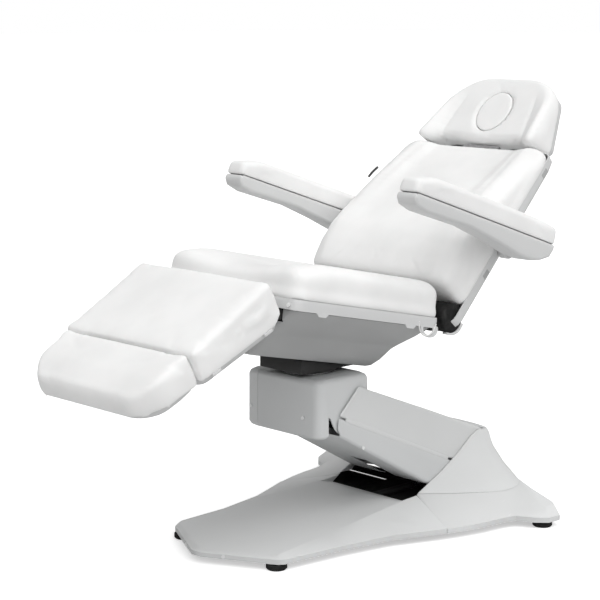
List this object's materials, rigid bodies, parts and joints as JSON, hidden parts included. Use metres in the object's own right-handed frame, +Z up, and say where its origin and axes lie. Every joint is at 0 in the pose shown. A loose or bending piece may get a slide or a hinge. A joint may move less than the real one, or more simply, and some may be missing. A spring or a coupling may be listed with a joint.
{
  "type": "facial treatment bed",
  "caption": "Powered treatment bed: low floor base, parallel lift arm and swivelling head carrying a jointed couch with armrests and a breathing-hole headrest.",
  "frame": {"origin": "on the floor, under the middle of the bounding box", "axes": "+X towards the head end, +Y towards the far armrest, +Z up"},
  "size_m": [1.8435, 1.024, 1.3709],
  "materials": {
    "cover_grey": "satin moulded shell",
    "cover_grey_lower": "satin moulded shell, a shade darker",
    "pan_grey": "satin moulded shell, mid grey",
    "shell_light_grey": "satin moulded shell",
    "white_leather": "soft artificial leather, fine grain",
    "black_painted_steel": "satin powder coat",
    "grey_painted_steel": "satin powder coat",
    "bright_steel": "turned and plated",
    "black_rubber": "matte",
    "black_plastic": "matte",
    "screw_cap_white": "gloss"
  },
  "bodies": {
    "base": {"base_frame": "black_painted_steel", "toe_cover": "cover_grey", "rear_cover": "cover_grey", "tower_cover": "cover_grey", "foot_front_near": "black_rubber", "foot_front_far": "black_rubber", "foot_rear_near": "black_rubber", "foot_rear_far": "black_rubber", "main_pivot_pin": "bright_steel", "link_pivot_pin": "bright_steel", "lift_actuator_body": "black_plastic", "toe_screw_near": "screw_cap_white", "toe_screw_far": "screw_cap_white"},
    "lift_arm": {"arm_weldment": "grey_painted_steel", "arm_upper_cover": "cover_grey", "arm_lower_cover": "cover_grey_lower", "arm_screw_near": "screw_cap_white"},
    "lift_link": {"lift_link": "grey_painted_steel"},
    "lift_rod": {"lift_actuator_rod": "bright_steel"},
    "lift_head": {"head_bracket": "black_painted_steel", "head_pivot_pin": "bright_steel", "head_cover_near": "cover_grey_lower", "head_cover_far": "cover_grey", "head_screw_near": "screw_cap_white", "head_screw_far": "screw_cap_white", "swivel_bearing_ring": "bright_steel"},
    "swivel": {"swivel_turntable": "black_painted_steel", "tilt_bracket": "black_painted_steel", "tilt_pivot_pin": "bright_steel"},
    "seat": {"seat_frame": "black_painted_steel", "seat_pan": "pan_grey", "seat_shell": "shell_light_grey", "seat_cushion": "white_leather", "seat_screw_near": "screw_cap_white", "seat_screw_far": "screw_cap_white", "back_actuator_body": "black_plastic", "leg_actuator_body": "black_plastic"},
    "back_rod": {"back_actuator_rod": "bright_steel"},
    "leg_rod": {"leg_actuator_rod": "bright_steel"},
    "back": {"back_frame": "black_painted_steel", "back_shell": "shell_light_grey", "back_cushion": "white_leather", "hinge_boot": "black_rubber"},
    "leg_rest": {"leg_frame": "black_painted_steel", "leg_shell": "shell_light_grey", "leg_cushion": "white_leather"},
    "foot_section": {"foot_shell": "shell_light_grey", "foot_slide_frame": "black_painted_steel", "foot_cushion": "white_leather"},
    "headrest_slider": {"headrest_slider": "bright_steel"},
    "headrest": {"headrest_frame": "black_painted_steel", "headrest_shell": "shell_light_grey", "headrest_cushion": "white_leather"},
    "face_plug": {"face_plug": "white_leather"},
    "armrest_near": {"armrest_shell_near": "shell_light_grey", "armrest_pad_near": "white_leather"},
    "armrest_far": {"armrest_shell_far": "shell_light_grey", "armrest_pad_far": "white_leather"}
  },
  "joints": [
    {"name": "lift", "type": "hinge", "parent": "base", "child": "lift_arm", "pos_m": [0.5267, 0, 0.19], "axis": [0, 1, 0], "range_deg": [-16, 16]},
    {"name": "link", "type": "hinge", "parent": "base", "child": "lift_link", "pos_m": [0.5267, 0.055, 0.12], "axis": [0, 1, 0], "range_deg": [-16, 16]},
    {"name": "head_level", "type": "hinge", "parent": "lift_arm", "child": "lift_head", "pos_m": [-0.02335, 0, 0.41503], "axis": [0, 1, 0], "range_deg": [-16, 16]},
    {"name": "lift_rod", "type": "slide", "parent": "base", "child": "lift_rod", "axis": [-1, 0, 0], "range_m": [-0.0386, 0.0386]},
    {"name": "swivel", "type": "hinge", "parent": "lift_head", "child": "swivel", "pos_m": [-0.0633, 0, 0.505], "axis": [0, 0, 1], "range_deg": [-90, 90]},
    {"name": "seat_tilt", "type": "hinge", "parent": "swivel", "child": "seat", "pos_m": [0.0467, 0, 0.57], "axis": [0, 1, 0], "range_deg": [-12, 4]},
    {"name": "back", "type": "hinge", "parent": "seat", "child": "back", "pos_m": [0.2667, 0, 0.66], "axis": [0, 1, 0], "range_deg": [-10, 58]},
    {"name": "back_rod", "type": "slide", "parent": "seat", "child": "back_rod", "axis": [-0.9781, 0, 0.2079], "range_m": [-0.0142, 0.0822]},
    {"name": "leg", "type": "hinge", "parent": "seat", "child": "leg_rest", "pos_m": [-0.4233, 0, 0.75], "axis": [0, 1, 0], "range_deg": [-35, 36]},
    {"name": "leg_rod", "type": "slide", "parent": "seat", "child": "leg_rod", "axis": [-0.9781, 0, 0.2079], "range_m": [-0.0291, 0.0299]},
    {"name": "foot_slide", "type": "slide", "parent": "leg_rest", "child": "foot_section", "axis": [-0.9135, 0, -0.4067], "range_m": [0, 0.12]},
    {"name": "headrest_slide", "type": "slide", "parent": "back", "child": "headrest_slider", "axis": [0.6884, 0, 0.7254], "range_m": [0, 0.07]},
    {"name": "headrest_tilt", "type": "hinge", "parent": "headrest_slider", "child": "headrest", "pos_m": [0.76035, 0, 1.12209], "axis": [0, 1, 0], "range_deg": [-5, 40]},
    {"name": "face_plug", "type": "slide", "parent": "headrest", "child": "face_plug", "axis": [-0.8829, 0, 0.4695], "range_m": [0, 0.1]},
    {"name": "armrest_near", "type": "hinge", "parent": "back", "child": "armrest_near", "pos_m": [0.48606, -0.37, 0.84612], "axis": [0, 1, 0], "range_deg": [0, 100]},
    {"name": "armrest_far", "type": "hinge", "parent": "back", "child": "armrest_far", "pos_m": [0.48606, 0.37, 0.84612], "axis": [0, 1, 0], "range_deg": [0, 100]}
  ],
  "couplings": [
    {"joint": "link", "follows": "lift", "ratio": 1},
    {"joint": "head_level", "follows": "lift", "ratio": -1},
    {"joint": "lift_rod", "follows": "lift", "m_per_rad": 0.138},
    {"joint": "back_rod", "follows": "back", "m_per_rad": 0.081175},
    {"joint": "leg_rod", "follows": "leg", "m_per_rad": 0.0475}
  ]
}
